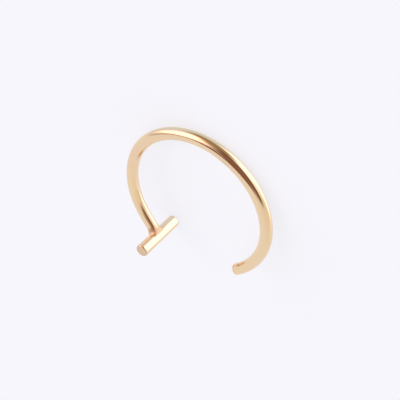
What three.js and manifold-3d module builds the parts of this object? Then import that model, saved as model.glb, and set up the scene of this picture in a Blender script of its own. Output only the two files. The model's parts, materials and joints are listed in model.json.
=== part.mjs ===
// A lip ring: a round gold wire bent into an open hoop, with a short round bar soldered across one end.
// The hoop is drawn flat first, with its centre at the origin and the crossbar upright, and is then laid
// down as it rests by itself, on the crossbar's lower end and the far side of the hoop.

import * as THREE from "three";
import { ConvexHull } from "three/addons/math/ConvexHull.js";
import { mergeVertices } from "three/addons/utils/BufferGeometryUtils.js";
import Module from "manifold-3d";

const wasm = await Module();
wasm.setup();

// Driving sizes, in millimetres and degrees
const WIRE_DIAMETER = 0.8;
const HOOP_OUTSIDE_DIAMETER = 11.0;
const GAP_ANGLE = 75; // from the crossbar's axis round to the free tip
const STRAIGHT_RUN = 1.7; // the last stretch of wire, straight into the crossbar's axis
const TIP_BEVEL = 0.07; // broken edge of the cut tip
const BAR_DIAMETER = 0.9;
const BAR_LENGTH = 3.8;
const BAR_EDGE_RADIUS = 0.08;
const SOLDER_CLIMB = 0.36; // up the wire, from the crossbar's side
const SOLDER_SPREAD = 0.16; // along the crossbar, past the wire on each side
const SOLDER_SKIN = 0.02; // how far the solder's own edges dip under the wire and the crossbar

// Facets
const WIRE_SIDES = 24;
const HOOP_STEPS = 84;
const BAR_SIDES = 32;
const CURVE_STEPS = 4;

// A face of the resting hull looks down when its normal's height is below this
const LOOKS_DOWN = -0.5;

// Sizes that follow
const WIRE_RADIUS = facetRadius(WIRE_DIAMETER / 2, WIRE_SIDES);
const BAR_RADIUS = facetRadius(BAR_DIAMETER / 2, BAR_SIDES);
const HOOP_RADIUS = (HOOP_OUTSIDE_DIAMETER - WIRE_DIAMETER) / 2;
const BAR_ANGLE = Math.PI / 2;
const BAR_OFFSET = Math.hypot(HOOP_RADIUS, STRAIGHT_RUN);
const TIP_ANGLE = BAR_ANGLE + THREE.MathUtils.degToRad(GAP_ANGLE);
const BEND_ANGLE = BAR_ANGLE + 2 * Math.PI - Math.atan2(STRAIGHT_RUN, HOOP_RADIUS);
const BEND_LENGTH = (BEND_ANGLE - TIP_ANGLE) * HOOP_RADIUS;

// The corner radius of a polygon with the same area as a circle, so that the metal keeps its true weight
function facetRadius(radius, sides) {
  const step = (2 * Math.PI) / sides;
  return radius * Math.sqrt(step / Math.sin(step));
}

// The wire's centre line: round from the free tip, then straight to the crossbar's axis
class HoopLine extends THREE.Curve {
  getPoint(share, target = new THREE.Vector3()) {
    const along = share * (BEND_LENGTH + STRAIGHT_RUN);
    const straight = Math.max(along - BEND_LENGTH, 0);
    const angle = TIP_ANGLE + (along - straight) / HOOP_RADIUS;
    const x = HOOP_RADIUS * Math.cos(angle) - straight * Math.sin(angle);
    const y = HOOP_RADIUS * Math.sin(angle) + straight * Math.cos(angle);
    return target.set(x, y, 0);
  }
}

function toSolid(geometry) {
  const bare = geometry.clone();
  bare.deleteAttribute("normal");
  bare.deleteAttribute("uv");
  const merged = mergeVertices(bare, 1e-5);
  return new wasm.Manifold(new wasm.Mesh({
    numProp: 3,
    vertProperties: merged.attributes.position.array,
    triVerts: new Uint32Array(merged.index.array),
  }));
}

function toGeometry(solid) {
  const mesh = solid.getMesh();
  const geometry = new THREE.BufferGeometry();
  geometry.setAttribute("position", new THREE.BufferAttribute(mesh.vertProperties, 3));
  geometry.setIndex(new THREE.BufferAttribute(mesh.triVerts, 1));
  geometry.computeVertexNormals();
  return geometry;
}

function wireSection() {
  const corners = [];
  for (let i = 0; i < WIRE_SIDES; i++) {
    const turn = (i * 2 * Math.PI) / WIRE_SIDES;
    corners.push(new THREE.Vector2(WIRE_RADIUS * Math.cos(turn), WIRE_RADIUS * Math.sin(turn)));
  }
  return new THREE.Shape(corners);
}

function hoopWire(line) {
  return toSolid(new THREE.ExtrudeGeometry(wireSection(), { extrudePath: line, steps: HOOP_STEPS }));
}

// A three-cornered ring that takes the sharp edge off the cut tip
function tipBevel(line) {
  const profile = [
    new THREE.Vector2(WIRE_RADIUS - 2 * TIP_BEVEL, TIP_BEVEL),
    new THREE.Vector2(WIRE_RADIUS + TIP_BEVEL, -2 * TIP_BEVEL),
    new THREE.Vector2(WIRE_RADIUS + TIP_BEVEL, TIP_BEVEL),
    new THREE.Vector2(WIRE_RADIUS - 2 * TIP_BEVEL, TIP_BEVEL),
  ];
  const ring = new THREE.LatheGeometry(profile, WIRE_SIDES);
  const tip = line.getPoint(0);
  ring.rotateZ(TIP_ANGLE + Math.PI);
  ring.translate(tip.x, tip.y, tip.z);
  return toSolid(ring);
}

// The crossbar, turned about its own axis, with a rounded edge at both ends
function crossbar() {
  const half = BAR_LENGTH / 2;
  const profile = [new THREE.Vector2(0, -half)];
  for (const end of [-1, 1]) {
    for (let i = 0; i <= CURVE_STEPS; i++) {
      const turn = (i / CURVE_STEPS) * (Math.PI / 2);
      const swing = end < 0 ? turn : Math.PI / 2 - turn;
      const out = BAR_RADIUS - BAR_EDGE_RADIUS * (1 - Math.sin(swing));
      const up = end * (half - BAR_EDGE_RADIUS * (1 - Math.cos(swing)));
      profile.push(new THREE.Vector2(out, up));
    }
  }
  profile.push(new THREE.Vector2(0, half));
  const bar = new THREE.LatheGeometry(profile, BAR_SIDES);
  bar.rotateX(Math.PI / 2);
  bar.translate(0, BAR_OFFSET, 0);
  return toSolid(bar);
}

// Lowers the solder onto the crossbar's round side, which falls away across the bar
function seatOnBar(collar) {
  const position = collar.attributes.position;
  for (let i = 0; i < position.count; i++) {
    const up = position.getY(i);
    const across = Math.min(Math.abs(position.getX(i)), BAR_RADIUS);
    const fall = BAR_RADIUS - Math.sqrt(BAR_RADIUS ** 2 - across ** 2);
    if (up > 0) position.setY(i, up - fall);
  }
}

// The solder: a collar on the wire that flares along the crossbar and is as narrow as it across
function solderFillet() {
  const thin = WIRE_RADIUS - SOLDER_SKIN;
  const flare = SOLDER_SPREAD + SOLDER_SKIN;
  const profile = [new THREE.Vector2(0, 0), new THREE.Vector2(thin + flare, 0)];
  for (let i = 0; i <= CURVE_STEPS; i++) {
    const turn = (i / CURVE_STEPS) * (Math.PI / 2);
    const out = thin + flare * (1 - Math.sin(turn));
    const up = BAR_RADIUS + SOLDER_CLIMB * (1 - Math.cos(turn));
    profile.push(new THREE.Vector2(out, up));
  }
  profile.push(new THREE.Vector2(0, BAR_RADIUS + SOLDER_CLIMB));
  const collar = new THREE.LatheGeometry(profile, WIRE_SIDES);
  collar.scale(Math.min((BAR_RADIUS - SOLDER_SKIN) / (thin + flare), 1), 1, 1);
  seatOnBar(collar);
  collar.rotateZ(BEND_ANGLE + Math.PI);
  collar.translate(0, BAR_OFFSET, 0);
  return toSolid(collar);
}

function cornersOf(geometry) {
  const position = geometry.attributes.position;
  return Array.from({ length: position.count }, (_, i) => new THREE.Vector3().fromBufferAttribute(position, i));
}

// The centre of mass of a closed mesh, from the slivers between the origin and each triangle
function centreOfMass(geometry) {
  const corners = cornersOf(geometry);
  const sum = new THREE.Vector3();
  let volume = 0;
  for (let i = 0; i < geometry.index.count; i += 3) {
    const [a, b, c] = [0, 1, 2].map((k) => corners[geometry.index.getX(i + k)]);
    const share = a.dot(new THREE.Vector3().crossVectors(b, c)) / 6;
    sum.addScaledVector(a.clone().add(b).add(c), share / 4);
    volume += share;
  }
  return sum.divideScalar(volume);
}

// The turn that lays the ring down: of the faces of its hull that look down, it comes to rest on the one
// that lets its centre of mass sink lowest
function restTurn(geometry) {
  const centre = centreOfMass(geometry);
  const hull = new ConvexHull().setFromPoints(cornersOf(geometry));
  const under = hull.faces.filter((face) => face.normal.z < LOOKS_DOWN);
  const height = (face) => -face.distanceToPoint(centre);
  const rest = under.reduce((best, face) => (height(face) < height(best) ? face : best));
  return new THREE.Quaternion().setFromUnitVectors(rest.normal, new THREE.Vector3(0, 0, -1));
}

function lipRing() {
  const line = new HoopLine();
  const wire = hoopWire(line).subtract(tipBevel(line));
  const geometry = toGeometry(wire.add(crossbar()).add(solderFillet()));
  const gold = new THREE.MeshStandardMaterial({ color: 0xe2b765, roughness: 0.15, metalness: 1.0 });
  const ring = new THREE.Mesh(geometry, gold);
  ring.name = "lip_ring";
  return ring;
}

// Laid down, with the middle of its footprint at the origin and its lowest point at height zero
function layDown(ring) {
  ring.quaternion.copy(restTurn(ring.geometry));
  ring.updateMatrixWorld(true);
  const box = new THREE.Box3().setFromObject(ring, true);
  const middle = box.getCenter(new THREE.Vector3());
  ring.position.set(-middle.x, -middle.y, -box.min.z);
  return ring;
}

const object = new THREE.Group();
object.add(layDown(lipRing()));

export default object;
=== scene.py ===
# %% [markdown]
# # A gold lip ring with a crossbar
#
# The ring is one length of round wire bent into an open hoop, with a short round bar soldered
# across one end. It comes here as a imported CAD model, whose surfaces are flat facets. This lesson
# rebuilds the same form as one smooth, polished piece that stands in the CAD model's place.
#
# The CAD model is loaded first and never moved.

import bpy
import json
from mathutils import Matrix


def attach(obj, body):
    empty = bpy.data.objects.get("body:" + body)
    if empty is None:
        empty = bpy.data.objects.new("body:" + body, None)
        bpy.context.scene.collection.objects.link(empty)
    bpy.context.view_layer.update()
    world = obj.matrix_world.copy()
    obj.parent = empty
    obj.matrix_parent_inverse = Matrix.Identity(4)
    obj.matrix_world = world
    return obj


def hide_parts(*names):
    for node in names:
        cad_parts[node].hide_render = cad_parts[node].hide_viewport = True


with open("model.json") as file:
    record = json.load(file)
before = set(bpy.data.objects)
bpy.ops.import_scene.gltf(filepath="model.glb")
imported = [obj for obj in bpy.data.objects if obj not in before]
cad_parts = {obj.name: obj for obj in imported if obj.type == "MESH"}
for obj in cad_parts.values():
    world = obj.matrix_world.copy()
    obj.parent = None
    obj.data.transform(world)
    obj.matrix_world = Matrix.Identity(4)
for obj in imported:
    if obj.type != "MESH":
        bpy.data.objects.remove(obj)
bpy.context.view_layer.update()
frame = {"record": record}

# %% The other tools of the lesson
import json
import math

import bmesh
import bpy
import numpy as np
from mathutils import Euler, Matrix, Quaternion, Vector

# %% [markdown]
# ## Where the ring lies
#
# The ring is modelled on a bench, where one Blender unit is a millimetre and the hoop lies flat
# round the origin. Blender's merging and bevelling distances suit that size. In metres, the softened
# rims would be narrower than the distance at which Blender takes two corners for one. The ring is
# laid down in its real place at the end.
#
# Five sizes are typed in here, the ones that a jeweller would work to, and the solder's own sizes
# come with the joint. The rest is worked out from the three flat faces that the CAD record names:
# the crossbar's two ends and the free tip.

# %% The jeweller's sizes, in millimetres
WIRE_RADIUS = 0.8 / 2
HOOP_RADIUS = 5.1  # from the hoop's middle to the middle of the wire
STRAIGHT_RUN = 1.7  # the last stretch of wire, straight into the crossbar's axis
BAR_RADIUS = 0.9 / 2
EDGE_RADIUS = 0.08  # what filing and tumbling take off a sharp rim
METRES = 0.001  # a bench unit in metres
print("the hoop will be", 2 * (HOOP_RADIUS + WIRE_RADIUS), "mm across outside")

# %% The flat faces of the record
faces = {mount["name"]: mount for mount in frame["record"]["mounts"]}


def face_place(name):
    """The middle of a flat face, in millimetres, in the frame that the ring lies in."""
    return Vector(faces[name]["pos_m"]) / METRES


upper_end = face_place("crossbar_upper_end")
lower_end = face_place("crossbar_lower_end")
bar_length = (upper_end - lower_end).length
bar_middle = (upper_end + lower_end) / 2
print("the crossbar is", round(bar_length, 2), "mm long")

# %% The hoop's own directions
# The bar stands square to the hoop. Seen along it, the hoop's middle, the bar and the tip make a
# triangle with two known sides, and the measured third side gives the angle of the gap.
bar_offset = math.hypot(HOOP_RADIUS, STRAIGHT_RUN)
hoop_normal = Vector(faces["crossbar_upper_end"]["axis"]).normalized()
to_tip = face_place("free_tip") - bar_middle
to_tip -= hoop_normal * to_tip.dot(hoop_normal)
gap_angle = math.acos(
    (HOOP_RADIUS**2 + bar_offset**2 - to_tip.length_squared) / (2 * HOOP_RADIUS * bar_offset)
)
tip_across = -HOOP_RADIUS * math.sin(gap_angle)
tip_along = HOOP_RADIUS * math.cos(gap_angle) - bar_offset
beside_tip = hoop_normal.cross(to_tip)
hoop_x = (tip_across * to_tip - tip_along * beside_tip) / to_tip.length_squared
hoop_y = (tip_along * to_tip + tip_across * beside_tip) / to_tip.length_squared
hoop_middle = bar_middle - hoop_y * bar_offset
print("the gap is", round(math.degrees(gap_angle), 1), "degrees from the bar to the tip")

# %% From the bench to the ring's place
turn = Matrix((hoop_x, hoop_y, hoop_normal)).transposed().to_4x4()
bench_to_place = Matrix.Translation(hoop_middle * METRES) @ turn @ Matrix.Scale(METRES, 4)
print("the hoop leans", round(math.degrees(hoop_normal.angle((0, 0, 1))), 1), "degrees")

# %% [markdown]
# ## A cage for a smooth surface
#
# Polished metal shows every facet. A tube of very many small faces would hide them, but it would be
# hard to join to another one. So the ring is made as a coarse cage, nearly all of four-sided faces,
# that a subdivision surface rounds off. The smooth surface lies a little inside its cage. For a
# regular polygon the shrinkage is known exactly, so each cage is drawn wider by that much, and the
# finished wire has its true thickness.

# %% Cage sizes and a way to choose parts of a mesh
WIRE_SIDES = 24
BAR_SIDES = 16
HOOP_STEPS = 64
SMOOTHING = 2


def cage_radius(radius, turn_per_side):
    """How wide a cage is drawn for its smooth surface to have the radius."""
    return radius * 3 / (2 + math.cos(turn_per_side))


def deselect_everything():
    """Leaves no object selected, so that an operator acts on the next piece alone."""
    for thing in bpy.context.selected_objects:
        thing.select_set(False)
    bpy.context.view_layer.objects.active = None


def choose(kind, test):
    """In edit mode, selects just the verts, edges or faces that pass the test."""
    bpy.ops.mesh.select_mode(type={"verts": "VERT", "edges": "EDGE", "faces": "FACE"}[kind])
    bpy.ops.mesh.select_all(action="DESELECT")
    cage = bmesh.from_edit_mesh(bpy.context.object.data)
    chosen = [part for part in getattr(cage, kind) if test(part)]
    for part in chosen:
        part.select_set(True)
    cage.select_flush_mode()
    bmesh.update_edit_mesh(bpy.context.object.data)
    return len(chosen)


wire_cage = cage_radius(WIRE_RADIUS, math.tau / WIRE_SIDES)
bar_cage = cage_radius(BAR_RADIUS, math.tau / BAR_SIDES)
print("the cages are", round(wire_cage, 4), "and", round(bar_cage, 4), "mm in radius")

# %% [markdown]
# ## The hoop wire
#
# On the real ring this is drawn wire, wound round a mandrel and cut. A curve with a round bevel would
# look the same, but its faces could not be joined to the bar's. The spin tool gives such faces, and
# it works as the mandrel does: a circle of the wire's section starts where the bend ends and is
# carried round the hoop's axis to the free tip. The same circle is then extruded straight on towards
# the crossbar, and stops where the solder begins.

# %% Bend the wire
SOLDER_CLIMB = 0.36  # how far the solder runs up the wire from the bar
bend_end = math.pi / 2 + math.tau - math.atan2(STRAIGHT_RUN, HOOP_RADIUS)
tip_angle = math.pi / 2 + gap_angle
hoop_sweep = bend_end - tip_angle
hoop_cage = cage_radius(HOOP_RADIUS, hoop_sweep / HOOP_STEPS)
deselect_everything()
bpy.ops.mesh.primitive_circle_add(
    vertices=WIRE_SIDES,
    radius=wire_cage,
    location=(hoop_cage * math.cos(bend_end), hoop_cage * math.sin(bend_end), 0),
    rotation=(math.pi / 2, 0, bend_end),
)
ring = bpy.context.object
ring.name = "polished_ring"
bpy.ops.object.transform_apply(location=True, rotation=True, scale=True)
bpy.ops.object.mode_set(mode="EDIT")
bpy.ops.mesh.select_all(action="SELECT")
bpy.ops.mesh.spin(steps=HOOP_STEPS, angle=hoop_sweep, center=(0, 0, 0), axis=(0, 0, 1))
print("bent wire:", len(bmesh.from_edit_mesh(ring.data).faces), "faces in the cage")

# %% Run the wire straight on to the solder
run_heading = Vector((-math.sin(bend_end), math.cos(bend_end), 0))
bend_place = Vector((hoop_cage * math.cos(bend_end), hoop_cage * math.sin(bend_end), 0))
solder_top = STRAIGHT_RUN - BAR_RADIUS - SOLDER_CLIMB
RUN_STEPS = 3
TOUCHING = 0.01  # corners as near to a plane as this, in millimetres, lie on it


def on_the_bend(corner):
    """True for the corners of the ring of edges where the bend ends."""
    return abs((corner.co - bend_place).dot(run_heading)) < TOUCHING and corner.co.y > 0


print("corners where the bend ends:", choose("verts", on_the_bend))
for step in range(RUN_STEPS):
    bpy.ops.mesh.extrude_region_move(
        TRANSFORM_OT_translate={"value": run_heading * solder_top / RUN_STEPS}
    )

# %% Close the tip and round its rim
tip_place = Vector((hoop_cage * math.cos(tip_angle), hoop_cage * math.sin(tip_angle), 0))
tip_heading = Vector((math.sin(tip_angle), -math.cos(tip_angle), 0))
RIM_SEGMENTS = 3


def on_the_tip(corner):
    """True for the corners of the ring of edges at the free tip."""
    return abs((corner.co - tip_place).dot(tip_heading)) < TOUCHING and corner.co.x < 0


print("corners at the tip:", choose("verts", on_the_tip))
bpy.ops.mesh.edge_face_add()
bpy.ops.mesh.bevel(offset=EDGE_RADIUS, segments=RIM_SEGMENTS, profile=0.5, affect="EDGES")
print("end faces inset:", choose("faces", lambda face: len(face.verts) == WIRE_SIDES))
bpy.ops.mesh.inset(thickness=EDGE_RADIUS)
bpy.ops.object.mode_set(mode="OBJECT")

# %% [markdown]
# ## The crossbar
#
# The bar is a plain cut length of thicker wire. It starts as a cylinder whose corners are turned to
# face the arriving wire, so that the joint can be symmetrical. Evenly spaced cuts give it rows of
# faces, and its two rims are bevelled, as a file breaks the edges of a sawn bar.
#
# The wire could simply be pushed into the bar, but then no solder could flow between them. Instead
# the block of faces that the solder covers is taken out. That block is six faces by six, so its
# border has as many corners as the wire has sides.

# %% Cut the bar into rows
SOLDER_SPREAD = 0.16  # how far the solder runs along the bar past the wire
ROWS_UNDER_WIRE = 6
row_height = 2 * (WIRE_RADIUS + SOLDER_SPREAD) / ROWS_UNDER_WIRE
bar_place = Vector((0, bar_offset, 0))
deselect_everything()
bpy.ops.mesh.primitive_cylinder_add(
    vertices=BAR_SIDES,
    radius=bar_cage,
    depth=bar_length,
    end_fill_type="NGON",
    location=bar_place,
    rotation=(0, 0, bend_end - math.pi / 2),
)
bar = bpy.context.object
bpy.ops.object.transform_apply(location=True, rotation=True, scale=True)
bpy.ops.object.mode_set(mode="EDIT")
rows_each_way = int((bar_length / 2 - 2 * EDGE_RADIUS) / row_height)
for row in range(-rows_each_way, rows_each_way + 1):
    bpy.ops.mesh.select_all(action="SELECT")
    bpy.ops.mesh.bisect(plane_co=(0, 0, row * row_height), plane_no=(0, 0, 1))
print("the bar has", 2 * rows_each_way + 2, "rows of faces")

# %% Round the bar's rims


def on_a_rim(edge):
    """True for the edges round the bar's two flat ends."""
    return all(abs(abs(corner.co.z) - bar_length / 2) < TOUCHING for corner in edge.verts)


print("rim edges:", choose("edges", on_a_rim))
bpy.ops.mesh.bevel(offset=EDGE_RADIUS, segments=RIM_SEGMENTS, profile=0.5, affect="EDGES")
print("end faces inset:", choose("faces", lambda face: len(face.verts) == BAR_SIDES))
bpy.ops.mesh.inset(thickness=EDGE_RADIUS)

# %% Open the side that the wire meets
hole_sides = (WIRE_SIDES - 2 * ROWS_UNDER_WIRE) // 2
hole_angle = math.tau / BAR_SIDES * hole_sides / 2


def under_the_wire(face):
    """True for the faces of the bar that the wire and its solder cover."""
    middle = face.calc_center_median()
    across = Vector((middle.x, middle.y - bar_offset, 0))
    near = abs(middle.z) < WIRE_RADIUS + SOLDER_SPREAD
    return near and across.angle(-run_heading) < hole_angle


print("faces taken out for the joint:", choose("faces", under_the_wire))
bpy.ops.mesh.delete(type="FACE")
bpy.ops.object.mode_set(mode="OBJECT")

# %% [markdown]
# ## The soldered joint
#
# Solder runs into the corner between wire and bar and draws itself into a hollow curve. Both pieces
# now have an open border with the same number of corners, one round and one nearly square, so a
# bridge between them can follow the two surfaces and curve as the solder does. Smoothing its corners
# a few times does what surface tension does to the liquid metal. Cutting one piece into the other
# with a boolean would join them too, but it leaves slivers that a mirror finish would show. What
# comes out here is a single closed skin, as on the real ring, which is one piece of metal.

# %% Join and bridge
SOLDER_ROWS = 4
SOLDER_HOLLOW = 0.7  # how strongly the bridge follows the two surfaces that it joins
deselect_everything()
bar.select_set(True)
ring.select_set(True)
bpy.context.view_layer.objects.active = ring
bpy.ops.object.join()
bpy.ops.object.mode_set(mode="EDIT")
print("border edges:", choose("edges", lambda edge: edge.is_boundary))
bpy.ops.mesh.bridge_edge_loops(
    number_cuts=SOLDER_ROWS,
    interpolation="SURFACE",
    smoothness=SOLDER_HOLLOW,
    profile_shape_factor=0.0,
)
print("faces after the bridge:", len(bmesh.from_edit_mesh(ring.data).faces))

# %% Let the solder draw itself smooth
joint = bar_place - run_heading * BAR_RADIUS
solder_reach = WIRE_RADIUS + SOLDER_SPREAD
SMOOTHED_REACH = 1.3 * solder_reach


def in_the_solder(corner):
    """True for the corners between the wire's end and the bar, and for the bar's right beside them."""
    past_wire = (corner.co - bend_place).dot(run_heading) > solder_top + TOUCHING
    return past_wire and (corner.co - joint).length < SMOOTHED_REACH


print("corners of the solder:", choose("verts", in_the_solder))
bpy.ops.mesh.vertices_smooth(factor=0.5, repeat=3)
bpy.ops.mesh.select_all(action="SELECT")
bpy.ops.mesh.normals_make_consistent(inside=False)
print("open edges left:", choose("edges", lambda edge: not edge.is_manifold))
bpy.ops.object.mode_set(mode="OBJECT")

# %% [markdown]
# ## The cut faces
#
# The ring is cut in three places: at the two ends of the bar and at the tip. They were sawn, and a
# file went over each face and round its rim, so they are rougher than the drawn sides. Their gold is
# also drawn a shade darker, which is painted shade on the cut ends. They get a material slot of
# their own now, while the cage is coarse and easy to choose from, and the smoothing carries the slot
# along.

# %% Give the cut faces their own slot
SIDE_SLOT, CUT_SLOT = 0, 1
FACING_OUT = 0.1  # a face of the tip's rim looks at least this far the way the wire ends, as a cosine


def is_cut(face):
    """True for the flat faces and the rims at the bar's two ends and at the tip."""
    middle = face.calc_center_median()
    at_bar_end = abs(middle.z) > bar_length / 2 - EDGE_RADIUS
    at_wire_end = abs((middle - tip_place).dot(tip_heading)) < EDGE_RADIUS and middle.x < 0
    return at_bar_end or (at_wire_end and face.normal.dot(tip_heading) > FACING_OUT)


for slot_number in (SIDE_SLOT, CUT_SLOT):
    bpy.ops.object.material_slot_add()
bpy.ops.object.mode_set(mode="EDIT")
print("cut faces:", choose("faces", is_cut))
ring.active_material_index = CUT_SLOT
bpy.ops.object.material_slot_assign()
bpy.ops.object.mode_set(mode="OBJECT")

# %% [markdown]
# ## Smooth it
#
# Two rounds of subdivision turn each four-sided face of the cage into sixteen, small enough for the
# outline to look round from close by. The modifier is applied, because the finish below needs the
# real points of the smooth surface.

# %% Apply the subdivision surface
smooth = ring.modifiers.new("smooth", "SUBSURF")
smooth.levels = SMOOTHING
smooth.render_levels = SMOOTHING
bpy.ops.object.modifier_apply(modifier=smooth.name)
bpy.ops.object.shade_smooth()
print("the smooth ring has", len(ring.data.polygons), "faces")

# %% Measure the smooth ring against the jeweller's sizes
points = np.empty(len(ring.data.vertices) * 3)
ring.data.vertices.foreach_get("co", points)
points = points.reshape(-1, 3)
on_the_hoop = points[:, 1] < 0
hoop_outside = 2 * np.hypot(points[:, 0], points[:, 1])[on_the_hoop].max()
wire_thickness = 2 * points[on_the_hoop, 2].max()
print("the hoop is", round(hoop_outside, 3), "mm across")
print("its wire is", round(wire_thickness, 3), "mm thick")

# %% [markdown]
# ## Which way the metal runs
#
# Wire is drawn through a die and a bar is turned or drawn too, so the finest marks on both run
# lengthwise. The finish needs to know that direction at every point. It is written on the ring as
# an attribute: how far along the metal a point is, and where it lies across the section, both in
# millimetres. Two numbers for the section, rather than an angle round it, leave no seam.

# %% Write the run of the metal
across_bar = points - np.array(bar_place)
to_bar_axis = np.hypot(across_bar[:, 0], across_bar[:, 1])
on_the_bar = to_bar_axis < BAR_RADIUS + TOUCHING

round_hoop = np.arctan2(points[:, 1], points[:, 0]) % math.tau
round_hoop[round_hoop < (bend_end - math.tau + tip_angle) / 2] += math.tau
past_bend = (points - np.array(bend_place)) @ np.array(run_heading)
on_the_run = (past_bend > 0) & (round_hoop > (bend_end + tip_angle) / 2)
out_of_line = (points - np.array(bend_place)) @ np.array(run_heading.cross((0, 0, 1)))

wire_along = HOOP_RADIUS * round_hoop
wire_across = np.hypot(points[:, 0], points[:, 1]) - HOOP_RADIUS
wire_along[on_the_run] = HOOP_RADIUS * bend_end + past_bend[on_the_run]
wire_across[on_the_run] = out_of_line[on_the_run]

run = np.column_stack((wire_along, wire_across, points[:, 2]))
run[on_the_bar] = across_bar[on_the_bar][:, [2, 0, 1]]
metal_run = ring.data.attributes.new("metal_run", "FLOAT_VECTOR", "POINT")
metal_run.data.foreach_set("vector", run.ravel())
wire_length = float(np.ptp(wire_along[~on_the_bar]))
print("the wire runs for", round(wire_length, 2), "mm")

# %% Write where the solder is
# It lies as a collar round the wire's foot: from the bar's skin up to where it thins out on the wire.
SOLDER_EDGE = 0.03  # millimetres over which it begins on the bar
SOLDER_FADE = 0.12  # and how far each way from its top it thins out
to_joint = np.linalg.norm(points - np.array(joint), axis=1)
above_bar = to_bar_axis - BAR_RADIUS
collar_foot = np.clip(above_bar / SOLDER_EDGE, 0, 1)
collar_top = np.clip((SOLDER_CLIMB + SOLDER_FADE - above_bar) / (2 * SOLDER_FADE), 0, 1)
solder_share = collar_foot * collar_top * (to_joint < 2 * solder_reach)
solder = ring.data.attributes.new("solder", "FLOAT", "POINT")
solder.data.foreach_set("value", solder_share)
print("points touched by solder:", int((solder_share > 0).sum()))

# %% [markdown]
# ## Lay it down
#
# The ring goes from the bench to its real place in one move. It lies there as it would on a table: on
# the bar's lower end and the side of the hoop. The move is applied to the mesh, so that the object
# itself stays at the origin. The ring rides on the part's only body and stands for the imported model.

# %% Lay the ring down in its place
deselect_everything()
ring.select_set(True)
bpy.context.view_layer.objects.active = ring
ring.matrix_world = bench_to_place
bpy.ops.object.transform_apply(location=True, rotation=True, scale=True)
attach(ring, "root")
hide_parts("lip_ring")
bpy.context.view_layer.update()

# %% [markdown]
# ## Small tools for shader nodes
#
# A finish is a net of nodes. These helpers add one node with its settings and fill its inputs, each
# with another node's output or with a plain value, so that a net reads like a short recipe.

# %% Helpers for nodes


def add_node(net, kind, feeds=(), **settings):
    """Adds a node, gives it its settings and fills its inputs by name or number."""
    node = net.nodes.new(kind)
    for name, value in settings.items():
        setattr(node, name, value)
    for name, source in dict(feeds).items():
        if isinstance(source, bpy.types.NodeSocket):
            net.links.new(source, node.inputs[name])
        else:
            node.inputs[name].default_value = source
    return node


def add_math(net, operation, *sources):
    """One step of arithmetic on numbers."""
    return add_node(net, "ShaderNodeMath", enumerate(sources), operation=operation).outputs[0]


def add_range(net, value, low, high, at_low=0.0, at_high=1.0, curve="SMOOTHSTEP"):
    """Turns a value between low and high into one between at_low and at_high."""
    feeds = {"Value": value, "From Min": low, "From Max": high, "To Min": at_low, "To Max": at_high}
    return add_node(net, "ShaderNodeMapRange", feeds, interpolation_type=curve).outputs[0]


def add_mix(net, share, first, second):
    """Blends two colours."""
    node = add_node(net, "ShaderNodeMix", data_type="RGBA")
    colour_inputs = [socket for socket in node.inputs if socket.type == "RGBA"]
    for socket, source in zip([node.inputs[0], *colour_inputs], (share, first, second)):
        if isinstance(source, bpy.types.NodeSocket):
            net.links.new(source, socket)
        else:
            socket.default_value = source
    return next(socket for socket in node.outputs if socket.type == "RGBA")


def new_group(name, inputs, outputs):
    """An empty node group with its named inputs and outputs, and its two end nodes."""
    group = bpy.data.node_groups.new(name, "ShaderNodeTree")
    for socket_name, kind in inputs:
        group.interface.new_socket(name=socket_name, in_out="INPUT", socket_type=kind)
    for socket_name, kind in outputs:
        group.interface.new_socket(name=socket_name, in_out="OUTPUT", socket_type=kind)
    return group, add_node(group, "NodeGroupInput"), add_node(group, "NodeGroupOutput")


print("helpers ready")

# %% [markdown]
# ## The marks of drawing and polishing
#
# A new gold ring looks like a mirror, but not a perfect one. The die leaves hair-fine lines along
# the wire, and polishing leaves the surface very slightly uneven, so that reflections waver. Neither
# is more than two thousandths of a millimetre high, far too fine for the mesh, so they are bumps in
# the material. They are shader groups, because the long sides and the cut faces both use them, the
# sides with long drawing lines and the cut faces with the short marks of a file.

# %% Group: lines along the metal
lines_group, lines_in, lines_out = new_group(
    "drawn_lines",
    [("Run", "NodeSocketVector"), ("Length", "NodeSocketFloat"), ("Width", "NodeSocketFloat")],
    [("Height", "NodeSocketFloat"), ("Dulling", "NodeSocketFloat")],
)
line_width = lines_in.outputs["Width"]
line_size = add_node(
    lines_group,
    "ShaderNodeCombineXYZ",
    {"X": lines_in.outputs["Length"], "Y": line_width, "Z": line_width},
).outputs[0]
stretched = add_node(
    lines_group,
    "ShaderNodeVectorMath",
    {0: lines_in.outputs["Run"], 1: line_size},
    operation="DIVIDE",
).outputs[0]
line_noise = add_node(
    lines_group,
    "ShaderNodeTexNoise",
    {"Vector": stretched, "Scale": 1.0, "Detail": 3.0, "Roughness": 0.6},
).outputs["Fac"]
DULL_FROM, DULL_TO = 0.5, 0.72  # only the stronger lines take away from the shine
line_dulling = add_range(lines_group, line_noise, DULL_FROM, DULL_TO)
lines_group.links.new(line_noise, lines_out.inputs["Height"])
lines_group.links.new(line_dulling, lines_out.inputs["Dulling"])
print(lines_group.name, "has", len(lines_group.nodes), "nodes")

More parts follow.
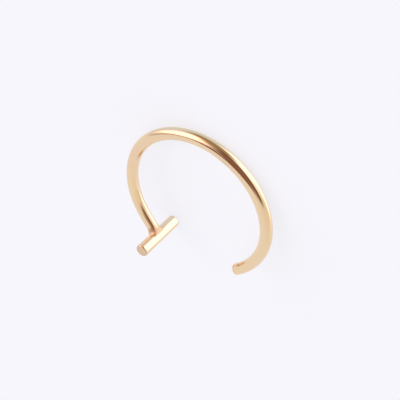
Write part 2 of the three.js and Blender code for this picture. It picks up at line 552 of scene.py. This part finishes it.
# %% Group: the unevenness that polishing leaves
polish_group, polish_in, polish_out = new_group(
    "polishing_waves",
    [("Place", "NodeSocketVector"), ("Size", "NodeSocketFloat")],
    [("Height", "NodeSocketFloat"), ("Patches", "NodeSocketFloat")],
)
PATCH_SIZE = 0.45  # the scale of the patches against that of the waves
PATCH_FROM, PATCH_TO = 0.35, 0.65
wave_scale = add_math(polish_group, "DIVIDE", 1.0, polish_in.outputs["Size"])
patch_scale = add_math(polish_group, "MULTIPLY", wave_scale, PATCH_SIZE)
wave_noise = add_node(
    polish_group,
    "ShaderNodeTexNoise",
    {"Vector": polish_in.outputs["Place"], "Scale": wave_scale, "Detail": 1.5, "Roughness": 0.4},
).outputs["Fac"]
patch_noise = add_node(
    polish_group,
    "ShaderNodeTexNoise",
    {"Vector": polish_in.outputs["Place"], "Scale": patch_scale},
).outputs["Fac"]
patches = add_range(polish_group, patch_noise, PATCH_FROM, PATCH_TO)
polish_group.links.new(wave_noise, polish_out.inputs["Height"])
polish_group.links.new(patches, polish_out.inputs["Patches"])
print(polish_group.name, "has", len(polish_group.nodes), "nodes")

# %% [markdown]
# ## Polished gold
#
# The colour of metal is the colour of its reflection, so the base colour is gold's own pale yellow
# and the brightness comes from the studio. Polishing leaves some places a shade rosier than others.
# The solder is a redder alloy. It stays duller, because a polishing wheel doesn't reach into the
# corner, and it covers the drawing lines. So one mask warms the colour, dulls the shine and stills
# the lines.

# %% The colours of the metal
GOLD = (0.874, 0.664, 0.402, 1)
ROSY_GOLD = (0.866, 0.640, 0.400, 1)
SOLDER_GOLD = (0.740, 0.500, 0.300, 1)
SOLDER_DULLING = 0.42  # roughness that the solder adds
# the cut faces' gold is darker than the sides': painted shade on the cut ends
SHADED_CUT_GOLD = (0.770, 0.572, 0.362, 1)
SHADED_CUT_ROSY_GOLD = (0.745, 0.540, 0.345, 1)
WAVE_HEIGHT = 0.0015  # millimetres
WAVE_SIZE = 1.1 * METRES
LINE_DULLING = 1.9  # how many times rougher the strongest lines are
PATCH_DULLING = (0.85, 1.15)  # and how the patches of the polish change the roughness
print("the solder reflects", round(SOLDER_GOLD[2] / GOLD[2], 2), "of the blue that the gold does")


# %% A recipe for a gold finish


def gold_finish(name, colours, line_turn, line_size, line_height, roughness):
    """Gold with fine lines of a given length, width and height, and an uneven polish."""
    gold = bpy.data.materials.new(name)
    gold.use_nodes = True
    net = gold.node_tree
    shader = net.nodes["Principled BSDF"]
    shader.inputs["Metallic"].default_value = 1.0
    place = add_node(net, "ShaderNodeTexCoord").outputs["Object"]
    run = add_node(net, "ShaderNodeAttribute", attribute_name="metal_run").outputs["Vector"]
    solder_mask = add_node(net, "ShaderNodeAttribute", attribute_name="solder").outputs["Fac"]
    turned = add_node(net, "ShaderNodeMapping", {"Vector": run, "Rotation": line_turn}).outputs[0]
    line_feeds = {"Run": turned, "Length": line_size[0], "Width": line_size[1]}
    lines = add_node(net, "ShaderNodeGroup", line_feeds, node_tree=lines_group).outputs
    wave_feeds = {"Place": place, "Size": WAVE_SIZE}
    waves = add_node(net, "ShaderNodeGroup", wave_feeds, node_tree=polish_group).outputs

    # the colour
    plain = add_mix(net, waves["Patches"], *colours)
    net.links.new(add_mix(net, solder_mask, plain, SOLDER_GOLD), shader.inputs["Base Color"])

    # the shine
    dulled = add_range(net, lines["Dulling"], 0, 1, roughness, roughness * LINE_DULLING, "LINEAR")
    patchy = add_range(net, waves["Patches"], 0, 1, *PATCH_DULLING)
    patched = add_math(net, "MULTIPLY", dulled, patchy)
    rough = add_math(net, "ADD", patched, add_math(net, "MULTIPLY", solder_mask, SOLDER_DULLING))
    net.links.new(rough, shader.inputs["Roughness"])

    # the relief
    stilled = add_math(net, "SUBTRACT", 1.0, solder_mask)
    line_relief = add_math(net, "MULTIPLY", lines["Height"], line_height)
    line_relief = add_math(net, "MULTIPLY", line_relief, stilled)
    wave_relief = add_math(net, "MULTIPLY", waves["Height"], WAVE_HEIGHT)
    relief = add_math(net, "ADD", line_relief, wave_relief)
    bump = add_node(net, "ShaderNodeBump", {"Height": relief, "Strength": 1.0, "Distance": METRES})
    net.links.new(bump.outputs["Normal"], shader.inputs["Normal"])
    return gold


print("recipe ready:", gold_finish.__name__)

# %% Finish the sides and the cut faces
DRAWN_LINES = (6.0, 0.05)  # length and width in millimetres
FILE_LINES = (0.8, 0.03)
DRAWN_HEIGHT, FILE_HEIGHT = 0.0001, 0.0006  # and their heights
DRAWN_ROUGHNESS, FILED_ROUGHNESS = 0.10, 0.30
ALONG = (0, 0, 0)
ACROSS = (math.radians(20), 0, math.radians(90))
drawn = gold_finish(
    "drawn_gold", (GOLD, ROSY_GOLD), ALONG, DRAWN_LINES, DRAWN_HEIGHT, DRAWN_ROUGHNESS
)
# the cut faces: rougher, with file marks, and a darker gold that is painted shade
filed_and_shaded = gold_finish(
    "filed_gold", (SHADED_CUT_GOLD, SHADED_CUT_ROSY_GOLD), ACROSS, FILE_LINES, FILE_HEIGHT, FILED_ROUGHNESS
)
ring.data.materials[SIDE_SLOT] = drawn
ring.data.materials[CUT_SLOT] = filed_and_shaded
print("finishes:", [material.name for material in ring.data.materials])

# %% [markdown]
# ## The studio
#
# A mirror shows its surroundings, so the ring is lit by painting them. They could be built of walls
# and lamps, but such a small ring sees a thing in one direction only, so each thing is a soft-edged
# patch of sky instead, with an azimuth and a height. The room is pale and even. A bright window
# stands beside the ring, with its dark frame over it. The ground is grey below the window, brown
# next to it and bright on the camera's side. Behind the camera is a dark brown wall, darkest at its
# foot, and next to that a pale one.

# %% Group: one soft-edged patch of the surroundings
PANEL_INPUTS = ("Azimuth", "Height", "Half width", "Half height", "Side blur", "End blur")
panel_group, panel_in, panel_out = new_group(
    "studio_panel",
    [("Direction", "NodeSocketVector")] + [(name, "NodeSocketFloat") for name in PANEL_INPUTS],
    [("Mask", "NodeSocketFloat")],
)
panel_turn = add_math(panel_group, "RADIANS", panel_in.outputs["Azimuth"])
faced = add_node(
    panel_group,
    "ShaderNodeVectorRotate",
    {"Vector": panel_in.outputs["Direction"], "Angle": panel_turn},
    rotation_type="Z_AXIS",
).outputs[0]
parts = add_node(panel_group, "ShaderNodeSeparateXYZ", {0: faced}).outputs
aside = add_math(panel_group, "DEGREES", add_math(panel_group, "ARCTAN2", parts["X"], parts["Y"]))
upwards = add_math(panel_group, "DEGREES", add_math(panel_group, "ARCSINE", parts["Z"]))
over = add_math(panel_group, "SUBTRACT", upwards, panel_in.outputs["Height"])
masks = []
for distance, half, blur in ((aside, "Half width", "Side blur"), (over, "Half height", "End blur")):
    inner = add_math(panel_group, "SUBTRACT", panel_in.outputs[half], panel_in.outputs[blur])
    outer = add_math(panel_group, "ADD", panel_in.outputs[half], panel_in.outputs[blur])
    away = add_math(panel_group, "ABSOLUTE", distance)
    masks.append(add_range(panel_group, away, inner, outer, 1.0, 0.0))
panel_group.links.new(add_math(panel_group, "MULTIPLY", *masks), panel_out.inputs["Mask"])
print(panel_group.name, "has", len(panel_group.nodes), "nodes")

# %% The patches, in degrees; a later one lies over an earlier one
ROOM = (0.93, 0.94, 1.03, 1)
PANELS = {
    # name: azimuth, height, half width, half height, side blur, end blur, colour
    "grey ground": (104, -38, 48, 36, 5, 20, (0.78, 0.88, 1.10, 1)),
    "bright ground": (-150, -38, 58, 38, 20, 6, (1.7, 1.85, 2.15, 1)),
    "brown ground": (140, -1, 33, 31, 16, 9, (0.38, 0.30, 0.17, 1)),
    "dark frame": (90, 82, 34, 56, 3, 30, (0.13, 0.06, 0.015, 1)),
    "pale wall": (-118, 20, 36, 50, 30, 6, (0.90, 0.87, 0.85, 1)),
    "dark wall": (177, 70, 47, 33, 18, 4, (0.26, 0.12, 0.09, 1)),
    "foot of the wall": (189, 23, 42, 15, 9, 9, (0.20, 0.09, 0.06, 1)),
    "window": (97, 34, 27, 26, 12, 11, (2.7, 1.96, 2.0, 1)),
}
print("patches:", ", ".join(PANELS))

# %% Paint the surroundings
world = bpy.data.worlds.new("studio")
bpy.context.scene.world = world
world.use_nodes = True
sky = world.node_tree
sky.nodes.clear()
direction = add_node(sky, "ShaderNodeTexCoord").outputs["Generated"]
painted = ROOM
for *shape, colour in PANELS.values():
    panel = add_node(sky, "ShaderNodeGroup", {"Direction": direction}, node_tree=panel_group)
    for name, value in zip(PANEL_INPUTS, shape):
        panel.inputs[name].default_value = value
    painted = add_mix(sky, panel.outputs["Mask"], painted, colour)
surroundings = add_node(sky, "ShaderNodeBackground", {"Color": painted})
print("the surroundings have", len(sky.nodes), "nodes")

# %% Put a plain backdrop behind the floor's edge
BACKDROP = (0.93, 0.922, 0.973, 1)
backdrop = add_node(sky, "ShaderNodeBackground", {"Color": BACKDROP})
seen = add_node(sky, "ShaderNodeLightPath").outputs["Is Camera Ray"]
both = add_node(
    sky,
    "ShaderNodeMixShader",
    {0: seen, 1: surroundings.outputs[0], 2: backdrop.outputs[0]},
)
add_node(sky, "ShaderNodeOutputWorld", {"Surface": both.outputs[0]})
print("backdrop:", BACKDROP[:3])

# %% [markdown]
# ## The floor and the lamp
#
# The floor is plain pale paper, lit so evenly that the ring casts only a breath of a shadow. A ring
# of many big lamps would do that, but it would take long to render. So most of the paper's light is
# its own, and the rest comes from the room and one wide lamp. The ring doesn't mirror the floor or
# the lamp, because the painted room already has its own ground and window.

# %% Lay the floor
OWN_LIGHT = 0.72  # how much of the paper's brightness is its own
PAPER = (0.246, 0.273, 0.281, 1)
deselect_everything()
bpy.ops.mesh.primitive_plane_add(size=1.0, location=(0, 0, 0))
floor = bpy.context.object
floor.name = "floor"
floor.visible_glossy = False
paper = bpy.data.materials.new("pale_paper")
paper.use_nodes = True
paper_shader = paper.node_tree.nodes["Principled BSDF"]
paper_shader.inputs["Base Color"].default_value = PAPER
paper_shader.inputs["Roughness"].default_value = 1.0
paper_shader.inputs["Specular IOR Level"].default_value = 0.0
paper_shader.inputs["Emission Color"].default_value = BACKDROP
paper_shader.inputs["Emission Strength"].default_value = OWN_LIGHT
floor.data.materials.append(paper)
print("floor:", paper.name)

# %% Hang the lamp
LAMP_POWER = 0.7
LAMP_WIDTH = math.radians(50)
LAMP_TILT = math.radians(38)
LAMP_TURN = math.radians(8)
lamp = bpy.data.lights.new("soft_lamp", "SUN")
lamp.energy = LAMP_POWER
lamp.angle = LAMP_WIDTH
lamp_object = bpy.data.objects.new("soft_lamp", lamp)
lamp_object.rotation_euler = Euler((LAMP_TILT, 0, LAMP_TURN))
lamp_object.visible_glossy = False
bpy.context.collection.objects.link(lamp_object)
print("lamp:", lamp.name)

# %% [markdown]
# ## The camera
#
# The camera looks at the hoop from the same side as the photograph does, from four centimetres away,
# and is turned about its own axis as the photograph is. Its place is given from the hoop, and the
# same move that laid the ring down carries the camera with it.

# %% Set the camera
CAMERA_AWAY = 40.8  # millimetres from the hoop's middle
CAMERA_ABOVE = math.radians(39.14)  # over the hoop's plane
CAMERA_ROUND = math.radians(3.07)  # round the hoop, from the place that faces the bar
PICTURE_TURN = math.radians(-133.7)
AIM = Vector((0.057, -0.258, -0.311))
LENS = 57.81
PICTURE_WIDTH = 36  # millimetres, behind that lens
FARTHEST = 2.0  # metres
camera_place = CAMERA_AWAY * Vector((
    math.cos(CAMERA_ABOVE) * math.sin(CAMERA_ROUND),
    -math.cos(CAMERA_ABOVE) * math.cos(CAMERA_ROUND),
    math.sin(CAMERA_ABOVE),
))
level = (AIM - camera_place).to_track_quat("-Z", "Y")
camera = bpy.data.objects.new("camera", bpy.data.cameras.new("camera"))
camera.data.lens = LENS
camera.data.sensor_width = PICTURE_WIDTH
camera.data.clip_start = METRES
camera.data.clip_end = FARTHEST
camera.location = bench_to_place @ camera_place
camera.rotation_mode = "QUATERNION"
camera.rotation_quaternion = turn.to_quaternion() @ level @ Quaternion((0, 0, 1), PICTURE_TURN)
bpy.context.collection.objects.link(camera)
bpy.context.scene.camera = camera
bpy.context.scene.view_settings.view_transform = "Standard"
print("camera at", [round(x, 5) for x in camera.location])
